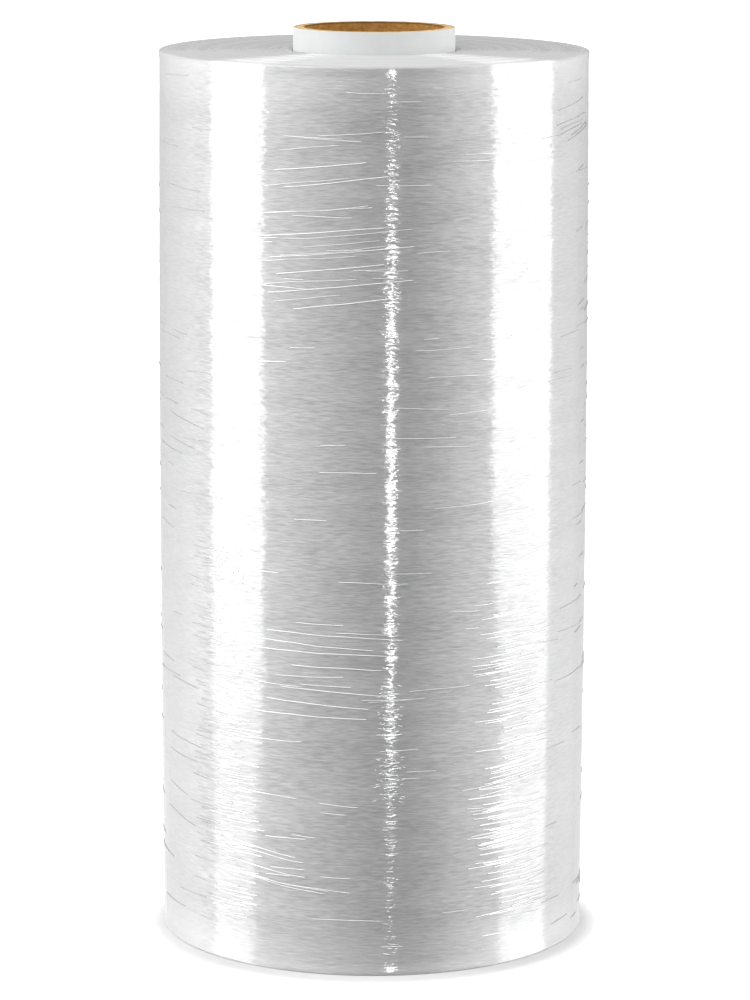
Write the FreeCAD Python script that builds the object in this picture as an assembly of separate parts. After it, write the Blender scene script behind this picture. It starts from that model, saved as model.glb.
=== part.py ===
"""Machine roll of clear stretch wrap, standing on its end.

The roll is three pieces that stay together: the kraft paperboard tube, the white
paper ply glued round it, and the wound film, whose turns are one solid. The axis is
+Z, and the origin is the middle of the end that the roll stands on. Millimetres.
"""

import FreeCAD, Part
import math
import os

# The wound film
FILM_WIDTH = 500.0  # width of the web, so the height of the wound film
FILM_END_DIAMETER = 240.0  # across the roll at its two ends
SIDE_CROWN = 1.1  # how far the middle of the side stands out past its ends
SHOULDER_RADIUS = 1.0  # round of the outermost turns at each end

# The turns: the web drifted to and fro along the axis while it was wound, so both
# ends of the film rise and fall in shallow rings of a few hundred turns each
RING_COUNT = 10
RING_WIDTH_SPREAD = 0.15  # how much wider or narrower than the mean a ring may be
RING_WIDTH_BEAT = 2.4  # radians from one ring's width to the next one's
WEB_DRIFT = 0.5  # furthest that the web drifted along the axis
WEB_DRIFT_BEAT = 2.6  # radians from one ring's drift to the next one's

# The core
CORE_BORE_DIAMETER = 76.7  # nominal three inch core
BOARD_WALL = 6.35  # kraft plies
WHITE_PLY_THICKNESS = 0.5
CORE_STICK_OUT = 12.7  # how far the core stands past the film at the top

AXIS = FreeCAD.Vector(0, 0, 1)
FULL_TURN = 360.0

bore_radius = CORE_BORE_DIAMETER / 2
board_radius = bore_radius + BOARD_WALL
ply_radius = board_radius + WHITE_PLY_THICKNESS
film_end_radius = FILM_END_DIAMETER / 2
core_length = FILM_WIDTH + CORE_STICK_OUT


def point(radius, height):
    """A point of a section, in the half plane Y = 0."""
    return FreeCAD.Vector(radius, 0, height)


def line(start, end):
    return Part.LineSegment(start, end).toShape()


def arc(start, middle, end):
    return Part.Arc(start, middle, end).toShape()


def bow(start, middle, end):
    """A shallow curve through three points, for an arc too flat to have a near centre."""
    curve = Part.BSplineCurve()
    curve.interpolate([start, middle, end])
    return curve.toShape()


def revolve(edges):
    """The solid that a closed section sweeps round the axis."""
    face = Part.Face(Part.Wire(edges))
    return face.revolve(FreeCAD.Vector(0, 0, 0), AXIS, FULL_TURN)


def ring_edges():
    """Radii where one ring of turns ends and the next begins, from the core outwards."""
    weights = [
        1 + RING_WIDTH_SPREAD * math.sin(RING_WIDTH_BEAT * ring)
        for ring in range(RING_COUNT)
    ]
    reach = film_end_radius - SHOULDER_RADIUS - ply_radius
    radii = [ply_radius]
    for weight in weights:
        radii.append(radii[-1] + reach * weight / sum(weights))
    return radii


def web_drift(edge):
    """How far the web had drifted at one ring edge. The outermost ring lies flat."""
    rings_inwards = max(RING_COUNT - 1 - edge, 0)
    return WEB_DRIFT * (1 - math.cos(WEB_DRIFT_BEAT * rings_inwards)) / 2


def end_points(height):
    """Section points of one end of the film, from the core out to the shoulder."""
    return [
        point(radius, height + web_drift(edge))
        for edge, radius in enumerate(ring_edges())
    ]


def shoulder(height, inwards):
    """Round between an end of the film and its side. inwards is 1 at the foot, -1 on top."""
    centre_radius = film_end_radius - SHOULDER_RADIUS
    centre_height = height + inwards * SHOULDER_RADIUS
    slant = SHOULDER_RADIUS * math.sqrt(0.5)
    start = point(centre_radius, height)
    middle = point(centre_radius + slant, centre_height - inwards * slant)
    end = point(film_end_radius, centre_height)
    return start, middle, end


def make_film_roll():
    """The wound film: a thick tube with a crowned side and ringed ends."""
    foot = end_points(0)
    top = end_points(FILM_WIDTH)
    foot_start, foot_middle, foot_end = shoulder(0, 1)
    top_start, top_middle, top_end = shoulder(FILM_WIDTH, -1)
    side_middle = point(film_end_radius + SIDE_CROWN, FILM_WIDTH / 2)

    edges = [line(a, b) for a, b in zip(foot, foot[1:])]
    edges.append(arc(foot_start, foot_middle, foot_end))
    edges.append(bow(foot_end, side_middle, top_end))
    edges.append(arc(top_end, top_middle, top_start))
    inwards = top[::-1]
    edges += [line(a, b) for a, b in zip(inwards, inwards[1:])]
    edges.append(line(top[0], foot[0]))
    return revolve(edges)


def make_sleeve(inner_radius, outer_radius):
    """A tube as long as the core, cut square at both ends."""
    section = [
        point(inner_radius, 0),
        point(outer_radius, 0),
        point(outer_radius, core_length),
        point(inner_radius, core_length),
    ]
    closed = section + section[:1]
    return revolve([line(a, b) for a, b in zip(closed, closed[1:])])


def make_core_tube():
    """The kraft tube."""
    return make_sleeve(bore_radius, board_radius)


def make_core_white_ply():
    """The white paper glued round the tube and cut with it."""
    return make_sleeve(board_radius, ply_radius)


PIECES = {
    "film_roll": make_film_roll,
    "core_tube": make_core_tube,
    "core_white_ply": make_core_white_ply,
}


def main():
    os.makedirs("parts", exist_ok=True)
    for name, make in PIECES.items():
        shape = make()
        shape.exportStep(f"parts/{name}.step")
        litres = shape.Volume / 1e6
        print(f"{name}: valid {shape.isValid()}, {len(shape.Solids)} solid, {litres:.3f} litres")


main()
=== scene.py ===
# %% [markdown]
# A roll of stretch wrap for a wrapping machine, standing on its end.
#
# The real roll is clear film, about 0.02 mm thick, wound some thousands of turns round a
# paperboard tube. The eye doesn't see the clear film but all the turns together: they
# look silvery grey, mirror the studio's lamps as tall white bands, and carry fine creases
# that run round the roll, because the film was pulled tight while it was wound.
#
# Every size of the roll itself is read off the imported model, so nothing is measured twice.

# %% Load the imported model
import math
import bpy
from mathutils import Matrix, Vector


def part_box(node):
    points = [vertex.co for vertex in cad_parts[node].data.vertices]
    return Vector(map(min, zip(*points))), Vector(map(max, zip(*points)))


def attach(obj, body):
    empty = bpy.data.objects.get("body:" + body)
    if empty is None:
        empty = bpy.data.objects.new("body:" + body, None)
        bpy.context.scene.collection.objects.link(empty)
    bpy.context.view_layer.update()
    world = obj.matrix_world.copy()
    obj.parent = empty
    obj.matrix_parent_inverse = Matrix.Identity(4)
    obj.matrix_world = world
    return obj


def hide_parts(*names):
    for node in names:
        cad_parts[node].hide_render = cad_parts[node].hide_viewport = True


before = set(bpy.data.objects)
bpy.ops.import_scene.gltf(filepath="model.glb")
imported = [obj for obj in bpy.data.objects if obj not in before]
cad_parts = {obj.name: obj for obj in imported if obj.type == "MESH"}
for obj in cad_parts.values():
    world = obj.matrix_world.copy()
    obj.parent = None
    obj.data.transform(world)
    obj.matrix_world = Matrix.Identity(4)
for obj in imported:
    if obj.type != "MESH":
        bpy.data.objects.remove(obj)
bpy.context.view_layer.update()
MM = 0.001
film_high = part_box("film_roll")[1]  # the high corner of the piece's box
core_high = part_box("core_tube")[1]
bore_radius = min(corner.co.xy.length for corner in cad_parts["core_tube"].data.vertices)
print("nodes", sorted(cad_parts))

# %% [markdown]
# Colours are written as hex values, as on a paint chart, and one function turns them to
# the linear numbers that a shader works in. Shapes, finishes, lamps and the studio are all
# node trees, and one function adds a node to them, sets its options and fills its sockets.
# The kinds of node that are used most have short names, and so has the soft blend.

# %% Helpers for colours, nodes and objects
NODE_SPACING = 200
MATH = "ShaderNodeMath"
VECTOR_MATH = "ShaderNodeVectorMath"
MAP_RANGE = "ShaderNodeMapRange"
NOISE = "ShaderNodeTexNoise"
MIX = "ShaderNodeMix"
COMBINE = "ShaderNodeCombineXYZ"
SEPARATE = "ShaderNodeSeparateXYZ"
SOFT = {"interpolation_type": "SMOOTHSTEP"}


def linear(hex_colour):
    """A colour written as RRGGBB, as linear red, green, blue and alpha."""
    shares = [int(hex_colour[i:i + 2], 16) / 255 for i in (0, 2, 4)]
    return [s / 12.92 if s <= 0.04045 else ((s + 0.055) / 1.055) ** 2.4 for s in shares] + [1]


def fill(tree, node, inputs):
    """Fill sockets with values or links. A node stands for its first output in use."""
    for key, value in inputs.items():
        if isinstance(key, int):
            socket = node.inputs[key]
        else:
            socket = next(s for s in node.inputs if s.enabled and key in (s.name, s.identifier))
        if isinstance(value, bpy.types.Node):
            value = next(s for s in value.outputs if s.enabled)
        if isinstance(value, bpy.types.NodeSocket):
            tree.links.new(value, socket)
        else:
            socket.default_value = value


def add(tree, kind, inputs=None, **settings):
    """Add a node with its options, and fill its sockets by name or by number."""
    node = tree.nodes.new(kind)
    node.location.x = NODE_SPACING * len(tree.nodes)
    for name, value in settings.items():
        setattr(node, name, value)
    fill(tree, node, inputs or {})
    return node


def new_material(name):
    """A material with only a Principled shader, and its tree and shader."""
    material = bpy.data.materials.new(name)
    material.use_nodes = True
    tree = material.node_tree
    return material, tree, tree.nodes["Principled BSDF"]


def new_object(name, data):
    """An object in the scene."""
    holder = bpy.data.objects.new(name, data)
    bpy.context.scene.collection.objects.link(holder)
    return holder


print("a middle grey of BCBCBC is", round(linear("BCBCBC")[0], 2), "in the shader")

# %% [markdown]
# The finishes come first, because the shapes are given them as they are made.
#
# The wound film is LLDPE, a clear and slightly waxy polyethylene that is blown as a tube
# and slit to width. Each face of a turn reflects about 4% of the light. The hundreds of
# clear turns under it reflect a little more each, so the roll mirrors like a thin
# silvering, and a small metallic share stands for that.
#
# The stretch marks are too small to model one by one, so they are noise. Each noise is
# squeezed along the roll's axis, which stretches it into streaks that run round the roll.
# It could be painted on a flat map, but a map has a seam at the back. This noise reads the
# place in space, so it has none.

# %% Finish: streaks that run round the roll
def streak_noise(tree, along, across, detail=2.0, seed=0.0):
    """Noise in streaks about along metres long round the roll and across metres high."""
    place = add(tree, "ShaderNodeTexCoord").outputs["Object"]
    squeeze = (1 / along, 1 / along, 1 / across)
    squeezed = add(tree, VECTOR_MATH, {0: place, 1: squeeze}, operation="MULTIPLY")
    sockets = {"Vector": squeezed, "W": seed, "Scale": 1.0, "Detail": detail}
    return add(tree, NOISE, sockets, noise_dimensions="4D")


def weighted_sum(tree, layers):
    """Noises added up, each times its weight, which is a height where they form a relief."""
    total = 0.0
    for noise, weight in layers:
        terms = {0: noise, 1: weight, 2: total}
        total = add(tree, MATH, terms, operation="MULTIPLY_ADD")
    return total


# %% [markdown]
# Two places on the roll look different from the rest. On the flanks, which face left and
# right, the streaks calm down. Near both ends, light that has travelled between the turns
# comes out again, and there the grey is painted lighter for that light. So the finish
# needs to know how far round and how far from an end it is.

# %% Finish: places on the roll
FLANK_FROM = 0.74  # shares of the roll's radius, sideways from the axis
FLANK_TO = 0.88


def from_nearer_end(tree, height, length):
    """How far a height is from the nearer end of a piece that stands from 0 to length."""
    from_top = add(tree, MATH, {0: length, 1: height}, operation="SUBTRACT")
    return add(tree, MATH, {0: height, 1: from_top}, operation="MINIMUM")


def height_in_piece(tree):
    place = add(tree, "ShaderNodeTexCoord").outputs["Object"]
    return add(tree, SEPARATE, {0: place}).outputs["Z"]


def flank_share(tree):
    """0 on the front and back of the roll, 1 on its left and right flanks."""
    place = add(tree, "ShaderNodeTexCoord").outputs["Object"]
    across = add(tree, SEPARATE, {0: place}).outputs["X"]
    sideways = add(tree, MATH, {0: across}, operation="ABSOLUTE")
    reach = {
        "Value": sideways,
        "From Min": FLANK_FROM * film_high.x,
        "From Max": FLANK_TO * film_high.x,
    }
    return add(tree, MAP_RANGE, reach, **SOFT)


# %% Finish: the film's grey
# The dashes stand for stretch marks of a few hundredths of a millimetre. They are drawn
# 0.7 mm high, because finer ones would not show.
FLANK_GREY = 0.55  # between 0, the darkest grey, and 1, the lightest
FLANK_CALM = 0.6  # share of their contrast that the dashes lose on the flanks
# How far from each end the painted light reaches.
RIM_LIGHT_REACH = 36 * MM


def film_grey(tree, flank):
    """Silvery grey in dashes and clouds, calmer on the flanks."""
    dashes = streak_noise(tree, along=7 * MM, across=0.7 * MM, detail=3.0)
    cloud = streak_noise(tree, along=50 * MM, across=14 * MM, seed=3.0)
    mixed = weighted_sum(tree, [(dashes, 0.7), (cloud, 0.3)])
    steep = add(tree, MAP_RANGE, {"Value": mixed, "From Min": 0.3, "From Max": 0.7})
    calm = add(tree, MATH, {0: flank, 1: FLANK_CALM}, operation="MULTIPLY")
    blend = {"Factor_Float": calm, "A_Float": steep, "B_Float": FLANK_GREY}
    contrast = add(tree, MIX, blend, data_type="FLOAT")
    blend = {"Factor_Float": contrast, "A_Color": linear("ABABAC"), "B_Color": linear("D7D7D7")}
    return add(tree, MIX, blend, data_type="RGBA")


def painted_rim_light(tree, grey):
    """The grey, painted lighter near both ends of the film for the light that comes out there.
    """
    from_end = from_nearer_end(tree, height_in_piece(tree), film_high.z)
    fall = {"Value": from_end, "From Max": RIM_LIGHT_REACH, "To Min": 0.28, "To Max": 0.0}
    share = add(tree, MAP_RANGE, fall, interpolation_type="SMOOTHERSTEP")
    blend = {"Factor_Float": share, "A_Color": grey, "B_Color": linear("F2F2F2")}
    return add(tree, MIX, blend, data_type="RGBA")


# %% Finish: clear film seen from the side
# Pull marks, ripples and dents ruffle the edges of the mirrored lamps, as on the real roll.
FLANK_RELIEF = 0.45


def film_relief(tree, flank):
    """Small relief of the film, flatter on the flanks."""
    pull_marks = streak_noise(tree, along=60 * MM, across=5 * MM, seed=5.0)
    ripples = streak_noise(tree, along=7 * MM, across=1.5 * MM, seed=7.0)
    dents = streak_noise(tree, along=16 * MM, across=9 * MM, seed=11.0)
    layers = [(pull_marks, 0.2 * MM), (ripples, 0.22 * MM), (dents, 0.2 * MM)]
    height = weighted_sum(tree, layers)
    fall = {"Value": flank, "To Min": 1.0, "To Max": FLANK_RELIEF}
    strength = add(tree, MAP_RANGE, fall)
    relief = {"Strength": strength, "Height": height, "Distance": 1.0}
    return add(tree, "ShaderNodeBump", relief)


def film_side_finish():
    material, tree, shader = new_material("Clear LLDPE film, wound, from the side")
    flank = flank_share(tree)
    fill(tree, shader, {
        "Base Color": painted_rim_light(tree, film_grey(tree, flank)),
        "Normal": film_relief(tree, flank),
        "Metallic": 0.3,
        "Roughness": 0.1,
        "IOR": 1.51,
    })
    return material


film_side = film_side_finish()
print("finish", film_side.name)

# %% [markdown]
# An end of the roll shows the slit edges of all the turns, as the edge of a book shows its
# pages. The edges lie in circles and each leans a little outwards, so a lamp that stands
# beside the roll shows as a wedge of light that spreads from the core to the rim, as on a
# record.
#
# Noise that depends only on the distance from the axis gives the circles. An anisotropic
# shader could give the wedges, but it can't lean them outwards. So the body is matt, for
# the light that is lost between the turns, and a clear coat over it has a normal of its
# own, which leans outwards more or less from one circle to the next.

# %% Finish: circles about the axis
def outward_place(tree):
    """The place seen along the axis: the way out from the axis, as long as the distance."""
    place = add(tree, "ShaderNodeTexCoord").outputs["Object"]
    return add(tree, VECTOR_MATH, {0: place, 1: (1, 1, 0)}, operation="MULTIPLY")


def distance_from_axis(tree):
    length = add(tree, VECTOR_MATH, {0: outward_place(tree)}, operation="LENGTH")
    return length.outputs["Value"]


def ring_noise(tree, width, detail=2.0):
    """Noise in circles about the axis, each about width metres wide."""
    scaled = {0: distance_from_axis(tree), 1: 1 / width}
    rings = add(tree, MATH, scaled, operation="MULTIPLY")
    sockets = {"W": rings, "Scale": 1.0, "Detail": detail}
    return add(tree, NOISE, sockets, noise_dimensions="1D")


# %% Finish: the turns' edges on the ends
# A turn's edge is 0.02 mm wide. The circles are drawn as groups of turns 0.8 to 7 mm wide,
# because single ones would not show. The coat's IOR is far above polyethylene's 1.51,
# because the edges under the first ones mirror too.
EDGE_LEAN = 7.0  # furthest lean outwards, as a slope
EDGE_LEAN_IN = -0.7


def edge_normal(tree):
    """The way that a turn's edge faces, leaning out or slightly in along the radius."""
    outward = add(tree, VECTOR_MATH, {0: outward_place(tree)}, operation="NORMALIZE")
    lean = {
        "Value": ring_noise(tree, width=0.8 * MM, detail=4.0),
        "From Min": 0.3,
        "From Max": 0.7,
        "To Min": EDGE_LEAN_IN,
        "To Max": EDGE_LEAN,
    }
    lean = add(tree, MAP_RANGE, lean, clamp=False)
    leant = add(tree, VECTOR_MATH, {0: outward, "Scale": lean}, operation="SCALE")
    facing = add(tree, "ShaderNodeNewGeometry").outputs["Normal"]
    total = add(tree, VECTOR_MATH, {0: leant, 1: facing}, operation="ADD")
    return add(tree, VECTOR_MATH, {0: total}, operation="NORMALIZE")


def film_end_finish():
    material, tree, shader = new_material("Clear LLDPE film, edges of the turns")
    rings = ring_noise(tree, width=1.6 * MM, detail=3.0)
    blend = {"Factor_Float": rings, "A_Color": linear("BFBFC0"), "B_Color": linear("D6D6D6")}
    grey = add(tree, MIX, blend, data_type="RGBA")
    cover = {
        "Value": ring_noise(tree, width=7 * MM, detail=3.0),
        "From Min": 0.35,
        "From Max": 0.65,
        "To Min": 0.5,
        "To Max": 1.0,
    }
    fill(tree, shader, {
        "Base Color": grey,
        "Specular IOR Level": 0.0,
        "Coat Weight": add(tree, MAP_RANGE, cover),
        "Coat Roughness": 0.14,
        "Coat IOR": 2.1,
        "Coat Normal": edge_normal(tree),
    })
    return material


film_end = film_end_finish()
print("finish", film_end.name)

# %% [markdown]
# The core is kraft paperboard: plies of brown paper, glued in a spiral round a mandrel and
# sawn to length. Inside, it shows the flat of the paper. At its end the saw has fluffed
# the plies' edges, which lie in rings and are drawn paler, partly for the fluffed fibres
# and partly as painted light on the end that faces the lamps. The sharp corner at the bore
# is drawn darker brown at both ends. The outside is a ply of smooth white paper.
#
# One function serves all three, since each is paper with flecks of its own size and
# height. Only the cut end mixes rings into its flecks. A ply is about half a millimetre,
# and the rings are drawn 1.1 mm wide, because finer ones would not show.

# %% Finish: kraft board and white paper
PLY_RING = 1.1 * MM
# A darker brown at the corner where the bore meets each end of the tube.
BORE_CORNER_BROWN = "5A380E"


def bore_corner_share(tree):
    """Strong at the corner where the bore meets an end of the tube, 0 a little away."""
    from_bore = {0: distance_from_axis(tree), 1: bore_radius}
    across = add(tree, MATH, from_bore, operation="SUBTRACT")
    from_end = from_nearer_end(tree, height_in_piece(tree), core_high.z)
    apart = add(tree, COMBINE, {0: across, 1: from_end})
    apart = add(tree, VECTOR_MATH, {0: apart}, operation="LENGTH").outputs["Value"]
    fall = {
        "Value": apart,
        "From Min": 0.4 * MM,
        "From Max": 1.4 * MM,
        "To Min": 0.85,
        "To Max": 0.0,
    }
    return add(tree, MAP_RANGE, fall)


def paper_finish(name, light, dark, fleck, fluff, rings=0.0, dark_bore_corner=False):
    """Paper with flecks of a width, fluffed up to a height, and a share of ply rings."""
    material, tree, shader = new_material(name)
    flecks = streak_noise(tree, along=fleck, across=fleck, detail=6.0, seed=2.0)
    ply_rings = ring_noise(tree, width=PLY_RING)
    mixed = weighted_sum(tree, [(flecks, 1 - rings), (ply_rings, rings)])
    steep = add(tree, MAP_RANGE, {"Value": mixed, "From Min": 0.35, "From Max": 0.65})
    blend = {"Factor_Float": steep, "A_Color": linear(dark), "B_Color": linear(light)}
    shade = add(tree, MIX, blend, data_type="RGBA")
    if dark_bore_corner:
        blend = {"Factor_Float": bore_corner_share(tree), "A_Color": shade, "B_Color": linear(BORE_CORNER_BROWN)}
        shade = add(tree, MIX, blend, data_type="RGBA")
    height = weighted_sum(tree, [(mixed, fluff)])
    relief = add(tree, "ShaderNodeBump", {"Height": height, "Distance": 1.0})
    fill(tree, shader, {"Base Color": shade, "Normal": relief, "Roughness": 0.9, "IOR": 1.45})
    print("finish", name)
    return material


# The saw-cut end is paler than the inside: partly its fluffed fibres, partly painted light on
# the end that faces the lamps.
cut_board = paper_finish(
    "Kraft board, saw cut", "F8DDA8", "A87434",
    fleck=0.9 * MM, fluff=0.5 * MM, rings=0.55, dark_bore_corner=True,
)
bore_board = paper_finish(
    "Kraft board, inside of the tube", "D09E54", "AE7C3A",
    fleck=2.5 * MM, fluff=0.15 * MM, dark_bore_corner=True,
)
white_paper = paper_finish(
    "White paper, calendered", "EBECEC", "E8E9E9", fleck=6 * MM, fluff=0.02 * MM,
)

# %% [markdown]
# Every piece of the roll is turned: one section, swept once round the axis. A Screw
# modifier could do that. Geometry Nodes do it with a grid, which lets the same tree push
# folds or saw marks into the shape afterwards. The grid's columns go round the roll, its
# rows follow the section, and each corner looks up the section's point of its row.

# %% A section swept round the axis
MERGE_REACH = 0.004 * MM  # joins the two edges of the seam


def swept_round(tree, section, columns):
    """Nodes that sweep a section, a chain of points in the XZ plane, round the Z axis."""
    count = add(tree, "GeometryNodeAttributeDomainSize", {0: section}, component="MESH")
    rows = count.outputs["Point Count"]
    seam_columns = add(tree, MATH, {0: columns, 1: 1.0}, operation="ADD")
    size = {"Size X": 1.0, "Size Y": 1.0, "Vertices X": seam_columns, "Vertices Y": rows}
    grid = add(tree, "GeometryNodeMeshGrid", size)

    place = add(tree, "GeometryNodeInputPosition")
    share = add(tree, VECTOR_MATH, {0: place, 1: (0.5, 0.5, 0.0)}, operation="ADD")
    share = add(tree, SEPARATE, {0: share})
    last_row = add(tree, MATH, {0: rows, 1: 1.0}, operation="SUBTRACT")
    row = add(tree, MATH, {0: share.outputs["Y"], 1: last_row}, operation="MULTIPLY")
    row = add(tree, MATH, {0: row}, operation="ROUND")
    lookup = {"Geometry": section, "Value": place, "Index": row}
    point = add(
        tree, "GeometryNodeSampleIndex", lookup, data_type="FLOAT_VECTOR", domain="POINT",
    )
    point = add(tree, SEPARATE, {0: point}).outputs

    angle = {0: share.outputs["X"], 1: math.tau}
    angle = add(tree, MATH, angle, operation="MULTIPLY")
    cosine = add(tree, MATH, {0: angle}, operation="COSINE")
    sine = add(tree, MATH, {0: angle}, operation="SINE")
    x = add(tree, MATH, {0: point["X"], 1: cosine}, operation="MULTIPLY")
    y = add(tree, MATH, {0: point["X"], 1: sine}, operation="MULTIPLY")
    round_place = add(tree, COMBINE, {0: x, 1: y, 2: point["Z"]})
    turned = add(tree, "GeometryNodeSetPosition", {"Geometry": grid, "Position": round_place})
    closed = {"Geometry": turned, "Distance": MERGE_REACH}
    return add(tree, "GeometryNodeMergeByDistance", closed)


# %% [markdown]
# A turned shape shades smoothly round its side and stays crisp at its rims. It takes one
# finish on its sides and another on its ends, which are the faces that look up or down.

# %% Smooth shading and two finishes
RIM_ANGLE = 0.6  # radians between two faces, above which their edge is crisp
END_SLANT = 0.45  # how far up or down a face looks before it counts as an end


def smooth_and_finish(tree, shape, given):
    """End a tree: smooth shading with crisp rims, and the two finishes."""
    edge_angle = add(tree, "GeometryNodeInputMeshEdgeAngle").outputs["Unsigned Angle"]
    above = {"A": edge_angle, "B": RIM_ANGLE}
    crisp = add(tree, "FunctionNodeCompare", above, operation="GREATER_THAN")
    smooth = add(tree, "GeometryNodeSetShadeSmooth", {"Geometry": shape, "Shade Smooth": True})
    rims = {"Geometry": smooth, "Selection": crisp, "Shade Smooth": False}
    edged = add(tree, "GeometryNodeSetShadeSmooth", rims, domain="EDGE")

    normal = add(tree, "GeometryNodeInputNormal")
    facing = add(tree, SEPARATE, {0: normal}).outputs["Z"]
    upright = add(tree, MATH, {0: facing}, operation="ABSOLUTE")
    above = {"A": upright, "B": END_SLANT}
    on_end = add(tree, "FunctionNodeCompare", above, operation="GREATER_THAN")

    whole = add(tree, "GeometryNodeRealizeInstances", {0: edged})
    side = {"Geometry": whole, "Material": given["Side finish"]}
    sided = add(tree, "GeometryNodeSetMaterial", side)
    end = {"Geometry": sided, "Selection": on_end, "Material": given["End finish"]}
    add(tree, "NodeGroupOutput", {"Piece": add(tree, "GeometryNodeSetMaterial", end)})


# %% [markdown]
# A tree is a recipe with named inputs. To make a piece, a recipe is put on an object as a
# modifier, its inputs are filled, and the evaluated result is kept as a plain mesh.

# %% From a tree to a piece
def new_tree(name, sizes, counts=(), finishes=()):
    """A tree with a section, sizes, counts and finishes as its inputs, and its inputs."""
    tree = bpy.data.node_groups.new(name, "GeometryNodeTree")
    kinds = {"Section": "NodeSocketGeometry"}
    kinds |= dict.fromkeys(counts, "NodeSocketInt")
    kinds |= dict.fromkeys(sizes, "NodeSocketFloat")
    kinds |= dict.fromkeys(finishes, "NodeSocketMaterial")
    for title, kind in kinds.items():
        tree.interface.new_socket(title, in_out="INPUT", socket_type=kind)
    tree.interface.new_socket("Piece", in_out="OUTPUT", socket_type="NodeSocketGeometry")
    return tree, add(tree, "NodeGroupInput").outputs


def make_piece(name, tree, values, section=((0.0, 0.0),)):
    """Run a tree on a section of radii and heights, and keep the result as a mesh."""
    chain = bpy.data.meshes.new(name + "_section")
    links = [(i, i + 1) for i in range(len(section) - 1)]
    chain.from_pydata([(radius, 0.0, height) for radius, height in section], links, [])
    maker = new_object(name + "_maker", chain)
    modifier = maker.modifiers.new(tree.name, "NODES")
    modifier.node_group = tree
    sockets = {item.name: item.identifier for item in tree.interface.items_tree}
    for title, value in values.items():
        modifier[sockets[title]] = value
    graph = bpy.context.evaluated_depsgraph_get()
    mesh = bpy.data.meshes.new_from_object(maker.evaluated_get(graph))
    bpy.data.objects.remove(maker)
    mesh.name = name
    piece = new_object(name, mesh)
    mesh.calc_loop_triangles()
    print(name, len(mesh.loop_triangles), "triangles")
    return piece


# %% [markdown]
# The wound film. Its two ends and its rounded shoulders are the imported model's own
# section, read off its mesh. The side gets a row every one and a half millimetres, so that
# it can carry the wider folds of the film as real shape. They only cut in, so the roll
# never grows past its size. The innermost turns end just short of the core and just inside
# the ends, which leaves the thin dark joint that the real roll shows round its core.

# %% The film's ends
END_ROWS_REACH = 4 * MM  # the ends and shoulders of the section lie within this


def section_points(node):
    """The places of a turned node's corners, as distance from the axis and height."""
    corners = (corner.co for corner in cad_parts[node].data.vertices)
    return sorted({(round(c.xy.length, 5), round(c.z, 5)) for c in corners})


film_points = section_points("film_roll")
core_radius = film_points[0][0]
outer_points = [p for p in film_points if p[0] > core_radius + 1 * MM]
foot_curve = sorted(p for p in outer_points if p[1] < END_ROWS_REACH)
top_curve = [p for p in outer_points if p[1] > film_high.z - END_ROWS_REACH]
top_curve.sort(key=lambda p: (-p[0], p[1]))
end_radius, side_start = foot_curve[-1]
side_end = top_curve[0][1]
film_width = side_start + side_end
crown = max(film_points)[0] - end_radius
print("film", round(film_width / MM, 1), "mm wide,", round(2 * end_radius / MM, 1), "mm across")

# %% The film's side
FILM_ROW = 1.55 * MM
CORE_GAP = 0.7 * MM
INNER_FOOT = 0.4 * MM  # how far inside the ends the innermost turns lie
INNER_TOP = 0.6 * MM


def side_radius(height):
    """The crowned side: widest half way up."""
    middle = film_width / 2
    away = (height - middle) / (middle - side_start)
    return end_radius + crown * (1 - away * away)


side_rows = round((side_end - side_start) / FILM_ROW)
side_step = (side_end - side_start) / side_rows
side_heights = [side_start + side_step * row for row in range(1, side_rows)]
side_curve = [(side_radius(height), height) for height in side_heights]
inner_foot = [(core_radius + CORE_GAP, INNER_FOOT)]
inner_top = [(core_radius + CORE_GAP, film_width - INNER_TOP)]
film_section = inner_foot + foot_curve + side_curve + top_curve + inner_top + inner_foot
print("the film's section has", len(film_section), "points")

# %% The folds of the film
# The folds fade out over a few millimetres at each shoulder, so that the rims stay true.
FOLDS_FROM = 1 * MM
FOLDS_TO = 6 * MM


def fold_depth(tree, place, given):
    """How deep the folds cut into the side at a place."""
    along = add(tree, MATH, {0: 1.0, 1: given["Fold length"]}, operation="DIVIDE")
    across = add(tree, MATH, {0: 1.0, 1: given["Fold pitch"]}, operation="DIVIDE")
    squeeze = add(tree, COMBINE, {0: along, 1: along, 2: across})
    squeezed = add(tree, VECTOR_MATH, {0: place, 1: squeeze}, operation="MULTIPLY")
    sockets = {"Vector": squeezed, "W": 1.0, "Scale": 1.0, "Detail": 2.0}
    folds = add(tree, NOISE, sockets, noise_dimensions="4D")
    terms = {0: folds, 1: given["Fold depth"], 2: given["Crease room"]}
    depth = add(tree, MATH, terms, operation="MULTIPLY_ADD")

    height = add(tree, SEPARATE, {0: place}).outputs["Z"]
    from_end = from_nearer_end(tree, height, given["Film width"])
    rise = {"Value": from_end, "From Min": FOLDS_FROM, "From Max": FOLDS_TO}
    on_side = add(tree, MAP_RANGE, rise, **SOFT)
    return add(tree, MATH, {0: depth, 1: on_side}, operation="MULTIPLY")


# %% The film's tree
def film_tree():
    sizes = ("Fold length", "Fold pitch", "Fold depth", "Crease room", "Film width")
    tree, given = new_tree("Wound film", sizes, ["Columns"], ["Side finish", "End finish"])
    turned = swept_round(tree, given["Section"], given["Columns"])
    place = add(tree, "GeometryNodeInputPosition")
    inward = add(tree, VECTOR_MATH, {0: place, 1: (-1, -1, 0)}, operation="MULTIPLY")
    inward = add(tree, VECTOR_MATH, {0: inward}, operation="NORMALIZE")
    push = {0: inward, "Scale": fold_depth(tree, place, given)}
    push = add(tree, VECTOR_MATH, push, operation="SCALE")
    folded = add(tree, "GeometryNodeSetPosition", {"Geometry": turned, "Offset": push})
    smooth_and_finish(tree, folded, given)
    return tree


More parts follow.
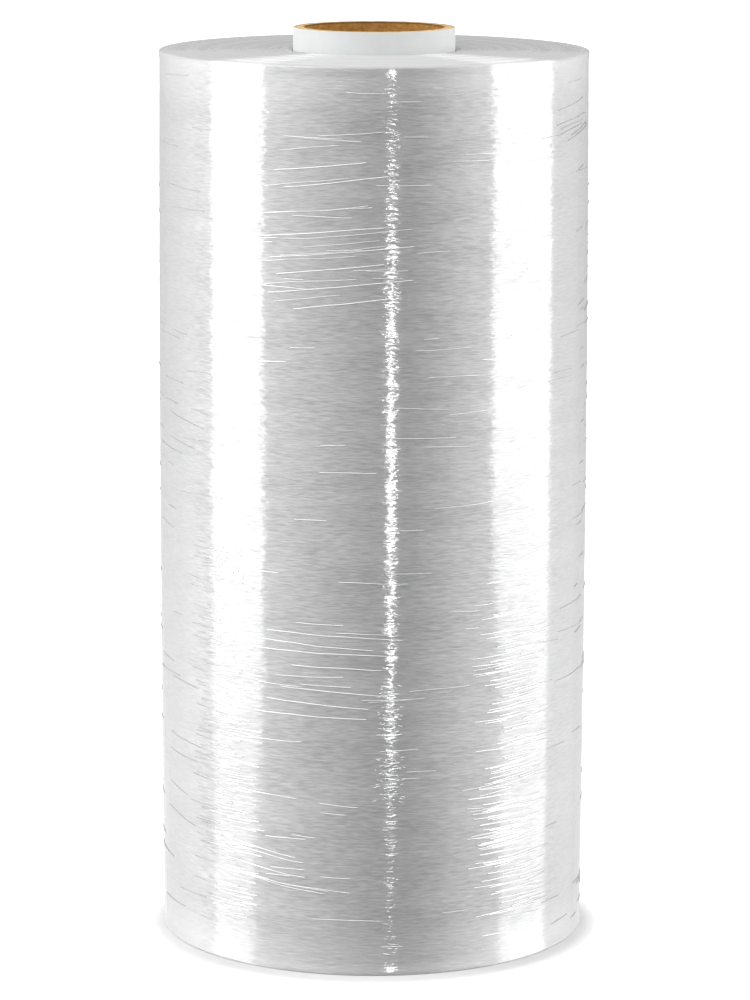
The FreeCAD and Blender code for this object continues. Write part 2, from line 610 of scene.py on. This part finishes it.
film_values = {
    "Columns": 232,
    "Fold length": 45 * MM,
    "Fold pitch": 9 * MM,
    "Fold depth": 0.3 * MM,
    "Crease room": 0.3 * MM,
    "Film width": film_width,
    "Side finish": film_side,
    "End finish": film_end,
}
wound_film = make_piece("wound_film", film_tree(), film_values, film_section)
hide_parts("film_roll")
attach(wound_film, "root")

# %% [markdown]
# Where a turn went on slack, the film lies in long thin creases. They stand up a few
# tenths of a millimetre and catch the light as bright lines. The folded film is drawn
# milkier and more silvery than the flat film, because several layers lie in each crease,
# and its lighter grey is partly a painted highlight for the light that the creases catch.

# %% Finish: creased film
def film_crease_finish():
    material, tree, shader = new_material("Clear LLDPE film, creased")
    cloud = streak_noise(tree, along=12 * MM, across=3 * MM, seed=13.0)
    # Lighter grey than the flat film: partly milky folds, partly a painted highlight.
    blend = {"Factor_Float": cloud, "A_Color": linear("D8D8D8"), "B_Color": linear("EFEFEF")}
    milky_highlit = add(tree, MIX, blend, data_type="RGBA")
    fill(tree, shader, {"Base Color": milky_highlit, "Metallic": 0.6, "Roughness": 0.15, "IOR": 1.51})
    return material


film_crease = film_crease_finish()
print("finish", film_crease.name)

# %% [markdown]
# Each crease is a thin lens, and hundreds of them are scattered, so the lens has only a
# few dozen faces and Geometry Nodes lay it out. It is easiest to scatter the lenses on a
# flat sheet, where X is the way round the roll and Y is up, to bend them a little there,
# and then to roll the whole sheet up round the axis.

# %% One crease
LENS_ROWS = 11
LENS_SIDES = 5
LENS_TIP = 0.03  # least thickness at the two tips, as a share
LENS_POINTEDNESS = 1.4


def lens(tree):
    """A lens along X, 1 long and 1 in radius at its middle, with pointed tips."""
    line = {"Start": (-0.5, 0, 0), "End": (0.5, 0, 0)}
    line = add(tree, "GeometryNodeCurvePrimitiveLine", line)
    line = {"Curve": line, "Count": LENS_ROWS}
    line = add(tree, "GeometryNodeResampleCurve", line, mode="COUNT")
    share = add(tree, "GeometryNodeSplineParameter").outputs["Factor"]
    swell = add(tree, MATH, {0: share, 1: math.pi}, operation="MULTIPLY")
    swell = add(tree, MATH, {0: swell}, operation="SINE")
    swell = add(tree, MATH, {0: swell, 1: LENS_TIP}, operation="MAXIMUM")
    swell = add(tree, MATH, {0: swell, 1: LENS_POINTEDNESS}, operation="POWER")
    tapered = add(tree, "GeometryNodeSetCurveRadius", {"Curve": line, "Radius": swell})
    ring = {"Resolution": LENS_SIDES, "Radius": 1.0}
    ring = add(tree, "GeometryNodeCurvePrimitiveCircle", ring)
    return add(tree, "GeometryNodeCurveToMesh", {0: tapered, 1: ring, "Fill Caps": True})


# %% A family of creases on a flat sheet
RANGES = {"azimuth": math.radians(1), "height": MM, "length": MM, "slope": math.radians(1)}


def drawn(tree, given, title, draw):
    """A random value for each crease in a range. Each draw has its own seed."""
    seed = add(tree, MATH, {0: given["Seed"], 1: float(draw)}, operation="ADD")
    bounds = {"Min": given["Least " + title], "Max": given["Most " + title], "Seed": seed}
    return add(tree, "FunctionNodeRandomValue", bounds, data_type="FLOAT")


def scattered_lenses(tree, given, half_thickness):
    azimuth = drawn(tree, given, "azimuth", 1)
    height = drawn(tree, given, "height", 2)
    along = {0: azimuth, 1: given["End radius"]}
    along = add(tree, MATH, along, operation="MULTIPLY")
    sheet_place = add(tree, COMBINE, {0: along, 1: height})
    points = {"Count": given["Count"], "Position": sheet_place}
    points = add(tree, "GeometryNodePoints", points)

    length = drawn(tree, given, "length", 3)
    slope = drawn(tree, given, "slope", 4)
    half_width = add(tree, MATH, {0: given["Width"], 1: 0.5}, operation="MULTIPLY")
    laid = add(tree, "GeometryNodeInstanceOnPoints", {
        "Points": points,
        "Instance": lens(tree),
        "Rotation": add(tree, COMBINE, {2: slope}),
        "Scale": add(tree, COMBINE, {0: length, 1: half_width, 2: half_thickness}),
    })
    return add(tree, "GeometryNodeRealizeInstances", {0: laid})


# %% Bending the creases and rolling the sheet up
SWAY_BENDS = 25.0  # bends per metre, about one in each long crease
CREASE_SINK = 0.06 * MM  # keeps the creases inside the roll's greatest radius


def swayed(tree, shape, place, given):
    """The creases, bent up and down a little on the sheet."""
    sockets = {"Vector": place, "W": given["Seed"], "Scale": SWAY_BENDS, "Detail": 1.0}
    sway = add(tree, NOISE, sockets, noise_dimensions="4D")
    sway = add(tree, MATH, {0: sway, 1: 0.5}, operation="SUBTRACT")
    sway = add(tree, MATH, {0: sway, 1: given["Wander"]}, operation="MULTIPLY")
    offset = add(tree, COMBINE, {1: sway})
    return add(tree, "GeometryNodeSetPosition", {"Geometry": shape, "Offset": offset})


def crowned_radius(tree, height, given):
    """The film's radius at a height, as side_radius gives it."""
    middle = add(tree, MATH, {0: given["Film width"], 1: 0.5}, operation="MULTIPLY")
    away = add(tree, MATH, {0: height, 1: middle}, operation="SUBTRACT")
    half_side = {0: middle, 1: given["Side start"]}
    half_side = add(tree, MATH, half_side, operation="SUBTRACT")
    away = add(tree, MATH, {0: away, 1: half_side}, operation="DIVIDE")
    bow = add(tree, MATH, {0: away, 1: away}, operation="MULTIPLY")
    bow = add(tree, MATH, {0: 1.0, 1: bow}, operation="SUBTRACT")
    terms = {0: bow, 1: given["Crown"], 2: given["End radius"]}
    return add(tree, MATH, terms, operation="MULTIPLY_ADD")


def rolled_up(tree, shape, place, half_thickness, given):
    """The sheet, rolled round the axis so that X = 0 faces the camera."""
    sheet = add(tree, SEPARATE, {0: place}).outputs
    radius = crowned_radius(tree, sheet["Y"], given)
    radius = add(tree, MATH, {0: radius, 1: half_thickness}, operation="SUBTRACT")
    radius = add(tree, MATH, {0: radius, 1: CREASE_SINK}, operation="SUBTRACT")
    radius = add(tree, MATH, {0: radius, 1: sheet["Z"]}, operation="ADD")
    turn = {0: sheet["X"], 1: given["End radius"]}
    turn = add(tree, MATH, turn, operation="DIVIDE")
    sine = add(tree, MATH, {0: turn}, operation="SINE")
    cosine = add(tree, MATH, {0: turn}, operation="COSINE")
    to_camera = add(tree, MATH, {0: cosine, 1: -1.0}, operation="MULTIPLY")
    x = add(tree, MATH, {0: radius, 1: sine}, operation="MULTIPLY")
    y = add(tree, MATH, {0: radius, 1: to_camera}, operation="MULTIPLY")
    rolled_place = add(tree, COMBINE, {0: x, 1: y, 2: sheet["Y"]})
    return add(tree, "GeometryNodeSetPosition", {"Geometry": shape, "Position": rolled_place})


# %% The creases' tree
CREASE_SIZES = ("Width", "Thickness", "Wander")
ROLL_SIZES = ("End radius", "Crown", "Film width", "Side start")


def crease_tree():
    ends = [end + title for title in RANGES for end in ("Least ", "Most ")]
    sizes = [*ends, *CREASE_SIZES, *ROLL_SIZES]
    tree, given = new_tree("Creases", sizes, ["Count", "Seed"], ["Finish"])
    half_thickness = {0: given["Thickness"], 1: 0.5}
    half_thickness = add(tree, MATH, half_thickness, operation="MULTIPLY")
    flat = scattered_lenses(tree, given, half_thickness)
    place = add(tree, "GeometryNodeInputPosition")
    bent = swayed(tree, flat, place, given)
    rolled = rolled_up(tree, bent, place, half_thickness, given)
    smooth = add(tree, "GeometryNodeSetShadeSmooth", {"Geometry": rolled, "Shade Smooth": True})
    whole = add(tree, "GeometryNodeRealizeInstances", {0: smooth})
    finished = {"Geometry": whole, "Material": given["Finish"]}
    finished = add(tree, "GeometryNodeSetMaterial", finished)
    add(tree, "NodeGroupOutput", {"Piece": finished})
    return tree


creases = crease_tree()
print("the creases' tree has", len(creases.nodes), "nodes")

# %% [markdown]
# The creases come in families. Long ones rise or fall across the front. Fans of short ones
# lie beside the mirrored lamps, where the film was pulled askew. Bundles and single ones
# lie on the flanks, fine ones lie all round, and crumples roughen the mirrored line of the
# narrow lamp. Each family is one row of a table: how many, the seed of its random draws,
# and then angles in degrees and sizes in millimetres, most of them as a least and a most.
# Azimuth 0 faces the camera, and height 0 is the foot.

# %% Families of creases
CREASE_COLUMNS = ("Count", "Seed", *RANGES, *CREASE_SIZES)
CREASE_FAMILIES = {
    "creases_rising": (8, 40, (-16, -8), (368, 458), (50, 85), (4, 7.5), 0.65, 0.5, 3),
    "creases_rising_faint": (10, 53, (-18, -4), (372, 470), (30, 70), (4, 7.5), 0.4, 0.35, 3),
    "creases_falling": (7, 37, (-20, -9), (140, 192), (45, 80), (-4, -1), 0.65, 0.5, 3),
    "creases_foot": (6, 15, (-36, -20), (45, 80), (40, 75), (-8, -3), 0.55, 0.45, 3),
    "creases_fan": (150, 21, (32, 50), (28, 200), (10, 34), (-1, 5), 0.55, 0.35, 3),
    "creases_fan_bright": (12, 27, (32, 42), (60, 112), (20, 34), (0, 4), 0.8, 0.5, 3),
    "creases_fan_left": (240, 39, (-52, -35), (24, 235), (8, 26), (-4, 3), 0.6, 0.45, 3),
    "creases_right": (34, 33, (70, 88), (150, 470), (5, 14), (0, 14), 0.5, 0.35, 2),
    "creases_bundle": (7, 3, (64, 74), (440, 474), (26, 44), (6, 12), 0.5, 0.35, 4),
    "creases_left": (9, 45, (-74, -58), (70, 330), (25, 45), (-7, -1), 0.35, 0.2, 4),
    "creases_back": (240, 57, (95, 265), (20, 480), (12, 55), (-5, 8), 0.65, 0.45, 3),
    "creases_fine": (320, 69, (-180, 180), (8, 492), (8, 40), (-3, 3), 0.5, 0.4, 2),
    "crumples_high": (60, 81, (1.5, 7.5), (136, 164), (0.8, 2.2), (-25, 25), 0.6, 0.5, 0),
    "crumples_low": (60, 87, (0.5, 8.5), (98, 124), (0.8, 2.2), (-25, 25), 0.6, 0.5, 0),
    "crumples_top": (40, 93, (3, 6), (330, 495), (0.8, 3), (-15, 15), 0.6, 0.5, 0),
}
roll_values = dict(zip(ROLL_SIZES, (end_radius, crown, film_width, side_start)))


def make_creases(name, family):
    """One family of creases, from its row of the table."""
    values = {"Count": family["Count"], "Seed": family["Seed"], "Finish": film_crease}
    for title, unit in RANGES.items():
        least, most = family[title]
        values |= {"Least " + title: least * unit, "Most " + title: most * unit}
    for title in CREASE_SIZES:
        values[title] = family[title] * MM
    piece = make_piece(name, creases, values | roll_values)
    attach(piece, "root")


for family_name, row in CREASE_FAMILIES.items():
    make_creases(family_name, dict(zip(CREASE_COLUMNS, row)))

# %% [markdown]
# The tube and its white ply stand a little out of the film at the top. The saw leaves their
# ends slightly uneven, so each end drops by up to 0.4 mm here and there, and on the tube a
# shallow groove shows between the plies. Both are turned from a section, as the film is,
# and only the corners at the two ends are moved.

# %% The core's tree
SAW_CUT_REACH = 1 * MM  # corners this near an end belong to the saw cut


def core_tree():
    sizes = ("Saw marks", "Saw mark length", "Core length")
    tree, given = new_tree("Core", sizes, ["Columns"], ["Side finish", "End finish"])
    turned = swept_round(tree, given["Section"], given["Columns"])

    place = add(tree, "GeometryNodeInputPosition")
    spread = {0: 1.0, 1: given["Saw mark length"]}
    spread = add(tree, MATH, spread, operation="DIVIDE")
    spot = add(tree, VECTOR_MATH, {0: place, "Scale": spread}, operation="SCALE")
    marks = add(tree, NOISE, {"Vector": spot, "Scale": 1.0, "Detail": 1.0})
    drop = add(tree, MATH, {0: marks, 1: given["Saw marks"]}, operation="MULTIPLY")

    height = add(tree, SEPARATE, {0: place}).outputs["Z"]
    half = add(tree, MATH, {0: given["Core length"], 1: 0.5}, operation="MULTIPLY")
    side = add(tree, MATH, {0: half, 1: height}, operation="SUBTRACT")
    side = add(tree, MATH, {0: side}, operation="SIGN")
    inward = add(tree, MATH, {0: drop, 1: side}, operation="MULTIPLY")
    from_end = from_nearer_end(tree, height, given["Core length"])
    near = {"A": from_end, "B": SAW_CUT_REACH}
    sawn = add(tree, "GeometryNodeSetPosition", {
        "Geometry": turned,
        "Selection": add(tree, "FunctionNodeCompare", near, operation="LESS_THAN"),
        "Offset": add(tree, COMBINE, {2: inward}),
    })
    smooth_and_finish(tree, sawn, given)
    return tree


# %% The core's two pieces
GROOVE_DEPTH = 0.15 * MM
core = core_tree()
core_values = {
    "Columns": 160,
    "Saw marks": 0.4 * MM,
    "Saw mark length": 4 * MM,
    "Core length": core_high.z,
}


def sleeve_section(inner, outer, length, grooves):
    """A tube's section, with shallow grooves between the plies at both ends."""
    steps = max(2 * grooves, 2)
    depth = GROOVE_DEPTH if grooves else 0.0
    radii = [inner + (outer - inner) * i / steps for i in range(steps + 1)]
    foot = [(radius, depth * (i % 2)) for i, radius in enumerate(radii)]
    top = [(radius, length - height) for radius, height in reversed(foot)]
    return foot + top + foot[:1]


def make_core_piece(name, node, grooves, side_finish, end_finish):
    places = section_points(node)
    section = sleeve_section(places[0][0], places[-1][0], core_high.z, grooves)
    finishes = {"Side finish": side_finish, "End finish": end_finish}
    piece = make_piece(name, core, core_values | finishes, section)
    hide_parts(node)
    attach(piece, "root")


make_core_piece("board_tube", "core_tube", 5, bore_board, cut_board)
make_core_piece("white_ply", "core_white_ply", 0, white_paper, white_paper)

# %% [markdown]
# The studio's lamps. Two upright softboxes stand beside the roll and show in it as the two
# wide white bands. A narrow strip lamp near the camera draws the thin bright line down the
# front, and a large soft lamp hangs overhead. An area lamp's radiance is its power over pi
# times its area, so each lamp is given as a radiance, where 1 is as bright as white paper.
#
# The lower part of each softbox is dimmer, and a dark margin masks it on the camera's
# side. That could be a second lamp, but the join would show in the film. Here the cloth
# has nodes of its own, which read the place on the lamp and blend softly.

# %% Lamps
CLOTH_BLEND = 0.07  # metres above and below the height where the cloth gets dimmer
CLOTH_EDGE = 0.08  # share of the width over which the cloth fades at its two sides
CLOTH_EDGE_LEVEL = 0.1


def hang_lamp(name, place, aim, width, height, radiance):
    """An area lamp at a place, facing a point. The camera doesn't see it."""
    lamp = bpy.data.lights.new(name, "AREA")
    lamp.shape = "RECTANGLE"
    lamp.size = width
    lamp.size_y = height
    lamp.energy = radiance * math.pi * width * height
    holder = new_object(name, lamp)
    holder.location = place
    holder.rotation_euler = (place - aim).to_track_quat("Z", "Y").to_euler()
    holder.visible_camera = False
    print("lamp", name, round(lamp.energy, 1), "W")
    return lamp


def below_height(cloth, height, level):
    """1 below a level on the lamp and 0 above it, with a soft change."""
    fall = {"Value": height, "From Min": level + CLOTH_BLEND, "From Max": level - CLOTH_BLEND}
    return add(cloth, MAP_RANGE, fall, **SOFT)


def dim_cloth(lamp, azimuth, bottom, dim_below, share, mask_below, margin):
    """Cloth with a share of the light low down, and lower still a dark margin."""
    lamp.use_nodes = True
    cloth = lamp.node_tree
    spot = add(cloth, "ShaderNodeNewGeometry").outputs["Parametric"]
    spot = add(cloth, SEPARATE, {0: spot}).outputs
    height = {0: spot["Y"], 1: lamp.size_y, 2: bottom}
    height = add(cloth, MATH, height, operation="MULTIPLY_ADD")
    dimmed = {"Value": below_height(cloth, height, dim_below), "To Min": 1.0, "To Max": share}
    dimmed = add(cloth, MAP_RANGE, dimmed)
    masked = {0: below_height(cloth, height, mask_below), 1: margin}
    masked = add(cloth, MATH, masked, operation="MULTIPLY")

    from_left = spot["X"]
    from_right = add(cloth, MATH, {0: 1.0, 1: from_left}, operation="SUBTRACT")
    inner, outer = (from_left, from_right) if azimuth > 0 else (from_right, from_left)
    inner = add(cloth, MATH, {0: inner, 1: masked}, operation="SUBTRACT")
    edge = add(cloth, MATH, {0: inner, 1: outer}, operation="MINIMUM")
    fade = {"Value": edge, "From Max": CLOTH_EDGE, "To Min": CLOTH_EDGE_LEVEL, "To Max": 1.0}
    fade = add(cloth, MAP_RANGE, fade, **SOFT)
    strength = add(cloth, MATH, {0: dimmed, 1: fade}, operation="MULTIPLY")
    fill(cloth, cloth.nodes["Emission"], {"Strength": strength})


def upright_lamp(name, azimuth, distance, width, bottom, top, radiance, dim=None):
    """An upright lamp that faces the axis. Azimuth 0 is the camera's side."""
    turn = math.radians(azimuth)
    middle = Vector((0, 0, (bottom + top) / 2))
    place = middle + Vector((math.sin(turn), -math.cos(turn), 0)) * distance
    lamp = hang_lamp(name, place, middle, width, top - bottom, radiance)
    if dim:
        dim_cloth(lamp, azimuth, bottom, **dim)


# %% The four lamps
SOFTBOX = {"bottom": -0.7, "top": 1.1, "radiance": 2.1}
STRIP = {"bottom": -0.19, "top": 0.27, "radiance": 10.0}
LEFT_DIM = {"dim_below": 0.06, "share": 0.53, "mask_below": -0.03, "margin": 0.19}
RIGHT_DIM = {"dim_below": 0.125, "share": 0.59, "mask_below": 0.07, "margin": 0.17}
OVERHEAD_PLACE = Vector((-0.7, -0.3, 1.7))
ROLL_FOOT = Vector((0, 0, 0))

upright_lamp("softbox_left", azimuth=-71.6, distance=0.62, width=0.39, dim=LEFT_DIM, **SOFTBOX)
upright_lamp("softbox_right", azimuth=80.9, distance=0.63, width=0.495, dim=RIGHT_DIM, **SOFTBOX)
upright_lamp("strip_front", azimuth=9.2, distance=1.4, width=0.05, **STRIP)
hang_lamp("softbox_overhead", OVERHEAD_PLACE, ROLL_FOOT, width=1.4, height=1.4, radiance=1.5)

# %% [markdown]
# The studio's walls. The film is a mirror, so half of its look is what stands round it. The
# walls are part of the world: their level depends on the azimuth, dark beside the camera
# and bright beside and behind the softboxes, it changes towards the floor, and it turns
# into a ceiling that is bright in front and dark behind. Only mirrored rays see them. All
# other light comes evenly from everywhere, at a plain level, so that a colour renders about
# as it is written. The camera sees plain white.

# %% Walls
WALL_LEVELS = [
    (-180, 0.55), (-168, 0.68), (-150, 0.78), (-128, 1.1), (-114, 1.48), (-102, 1.68),
    (-60, 1.55), (-48, 1.4), (-34, 1.1), (-20, 0.82), (-1, 0.42), (14, 0.25), (20, 0.27),
    (32, 0.61), (45, 1.08), (60, 1.5), (105, 1.45), (122, 1.15), (137, 0.93), (148, 0.72),
    (165, 0.6), (180, 0.5),
]
BRIGHTEST_WALL = max(level for azimuth, level in WALL_LEVELS)


def wall_by_azimuth(sky, toward):
    """The wall's level, from stops given as degrees from the camera's side and levels."""
    to_camera = add(sky, MATH, {0: toward["Y"], 1: -1.0}, operation="MULTIPLY")
    azimuth = add(sky, MATH, {0: toward["X"], 1: to_camera}, operation="ARCTAN2")
    whole_turn = {"Value": azimuth, "From Min": -math.pi, "From Max": math.pi}
    ramp = add(sky, "ShaderNodeValToRGB", {0: add(sky, MAP_RANGE, whole_turn)})
    stops = ramp.color_ramp.elements
    while len(stops) < len(WALL_LEVELS):
        stops.new(0.5)
    for stop, (degrees, level) in zip(stops, WALL_LEVELS):
        stop.position = (degrees + 180) / 360
        stop.color = (level / BRIGHTEST_WALL,) * 3 + (1,)
    return add(sky, MATH, {0: ramp, 1: BRIGHTEST_WALL}, operation="MULTIPLY")


def low_wall_factor(sky, toward):
    """Lower down, the back of the studio is brighter and its front is darker."""
    fall = {"Value": toward["Z"], "From Min": -0.12, "From Max": -0.27}
    low = add(sky, MAP_RANGE, fall, **SOFT)
    front_to_back = {"Value": toward["Y"], "From Min": -1.0, "To Min": -0.44, "To Max": 0.6}
    change = add(sky, MAP_RANGE, front_to_back)
    factor = {0: low, 1: change, 2: 1.0}
    factor = add(sky, MATH, factor, operation="MULTIPLY_ADD")
    rise = {"Value": toward["Z"], "From Min": -0.55, "From Max": -0.33, "To Min": 0.5}
    from_floor = add(sky, MAP_RANGE, rise, **SOFT)
    return add(sky, MATH, {0: factor, 1: from_floor}, operation="MULTIPLY")


def mirrored_studio(sky, toward):
    """Walls below, and above them a ceiling that is bright in front and dark behind."""
    factors = {0: wall_by_azimuth(sky, toward), 1: low_wall_factor(sky, toward)}
    wall = add(sky, MATH, factors, operation="MULTIPLY")
    rise = {"Value": toward["Z"], "From Min": 0.0, "From Max": 0.3}
    above = add(sky, MAP_RANGE, rise, **SOFT)
    back = {
        "Value": toward["Y"], "From Min": -0.15, "From Max": 0.35, "To Min": 1.7, "To Max": 0.35,
    }
    ceiling = add(sky, MAP_RANGE, back, **SOFT)
    blend = {"Factor_Float": above, "A_Float": wall, "B_Float": ceiling}
    return add(sky, MIX, blend, data_type="FLOAT")


# %% World
AMBIENT = 0.55  # the plain level of all light that isn't mirrored
MIRRORED_RAYS = ("Is Glossy Ray", "Is Transmission Ray")


def any_ray(tree, *kinds):
    """1 for rays of any of the kinds, 0 for others."""
    rays = add(tree, "ShaderNodeLightPath").outputs
    share = 0.0
    for kind in kinds:
        share = add(tree, MATH, {0: share, 1: rays[kind]}, operation="MAXIMUM")
    return share


world = bpy.data.worlds.new("White studio")
bpy.context.scene.world = world
world.use_nodes = True
sky = world.node_tree
sky.nodes.clear()
direction = add(sky, "ShaderNodeTexCoord").outputs["Generated"]
toward = add(sky, SEPARATE, {0: direction}).outputs
mirrored = any_ray(sky, *MIRRORED_RAYS)
lit = {"Factor_Float": mirrored, "A_Float": AMBIENT, "B_Float": mirrored_studio(sky, toward)}
lit = add(sky, MIX, lit, data_type="FLOAT")
seen = {"Factor_Float": any_ray(sky, "Is Camera Ray"), "A_Float": lit, "B_Float": 1.0}
seen = add(sky, MIX, seen, data_type="FLOAT")
background = add(sky, "ShaderNodeBackground", {"Color": (1, 1, 1, 1), "Strength": seen})
add(sky, "ShaderNodeOutputWorld", {"Surface": background})
print("world", world.name, "with", len(WALL_LEVELS), "stops round its walls")

# %% [markdown]
# The floor is a matt white sheet. It takes the roll's shadow from the lamps, and it glows
# enough to stay as white as the backdrop: little close to the roll and more a few
# centimetres away, so the contact shadow is partly real shade from the lamps and partly
# painted shadow, a ring of less glow. The glow is only there for the camera and for
# mirrored rays, so it puts no light on the roll. The film doesn't mirror the floor itself,
# because the walls already reach below it.

# %% Floor
FLOOR_REACH = 8.0
# Painted contact shadow: a ring of less glow round the foot, shifted towards the camera.
PAINTED_SHADOW_SHIFT = 8 * MM  # the contact shadow reaches this much further towards the camera
PAINTED_CONTACT_SHADOW = (119 * MM, 137 * MM)  # distances from the axis over which it fades


def floor_glow(tree):
    """Floor glow for the camera and mirrored rays, low near the roll: a painted contact shadow.
    """
    seen = any_ray(tree, "Is Camera Ray", *MIRRORED_RAYS)
    place = add(tree, "ShaderNodeTexCoord").outputs["Object"]
    away = add(tree, VECTOR_MATH, {0: place}, operation="LENGTH").outputs["Value"]
    shift = {0: place, 1: (0, PAINTED_SHADOW_SHIFT, 0)}
    near = add(tree, VECTOR_MATH, shift, operation="ADD")
    near = add(tree, VECTOR_MATH, {0: near}, operation="LENGTH").outputs["Value"]
    first, last = PAINTED_CONTACT_SHADOW
    rise = {"Value": near, "From Min": first, "From Max": last, "To Min": 0.05, "To Max": 0.6}
    painted_shadow_glow = add(tree, MAP_RANGE, rise, **SOFT)
    rise = {"Value": away, "From Min": 0.2, "From Max": 0.6, "To Max": 0.4}
    far_level = add(tree, MAP_RANGE, rise, **SOFT)
    level = add(tree, MATH, {0: painted_shadow_glow, 1: far_level}, operation="ADD")
    return add(tree, MATH, {0: seen, 1: level}, operation="MULTIPLY")


def floor_finish():
    material = bpy.data.materials.new("Matt white floor")
    material.use_nodes = True
    tree = material.node_tree
    tree.nodes.clear()
    glow = {"Color": (1, 1, 1, 1), "Strength": floor_glow(tree)}
    glow = add(tree, "ShaderNodeEmission", glow)
    matt = add(tree, "ShaderNodeBsdfDiffuse", {"Color": linear("E6E6E6")})
    both = add(tree, "ShaderNodeAddShader", {0: matt, 1: glow})
    add(tree, "ShaderNodeOutputMaterial", {"Surface": both})
    return material


floor_mesh = bpy.data.meshes.new("floor")
corners = [(-1, -1), (1, -1), (1, 1), (-1, 1)]
corners = [(x * FLOOR_REACH, y * FLOOR_REACH, 0) for x, y in corners]
floor_mesh.from_pydata(corners, [], [(0, 1, 2, 3)])
floor_mesh.materials.append(floor_finish())
floor = new_object("floor", floor_mesh)
floor.visible_glossy = False
print("floor", 2 * FLOOR_REACH, "m wide")

# %% [markdown]
# The camera stands where a fit to the roll's rims, sides and core puts it: two and a third
# metres in front, a little above the roll, looking slightly down. Its lens is given by the
# focal length in pixels of an image 1000 pixels high.

# %% Camera
CAMERA_PLACE = Vector((1.12, -2352.2, 681.7)) * MM
LOOK_DOWN = 10.53  # degrees
LEAN_ASIDE = 0.147
FOCAL_PIXELS = 4209.9
IMAGE_HEIGHT = 1000
SENSOR = 36

camera = new_object("camera", bpy.data.cameras.new("camera"))
camera.data.sensor_width = SENSOR
camera.data.lens = FOCAL_PIXELS * SENSOR / IMAGE_HEIGHT
camera.data.clip_end = 100
tilt = Matrix.Rotation(math.radians(90 - LOOK_DOWN), 4, "X")
lean = Matrix.Rotation(math.radians(LEAN_ASIDE), 4, "Z")
camera.matrix_world = Matrix.Translation(CAMERA_PLACE) @ tilt @ lean
bpy.context.scene.camera = camera
bpy.context.scene.view_settings.view_transform = "Standard"
print("lens", round(camera.data.lens), "mm")
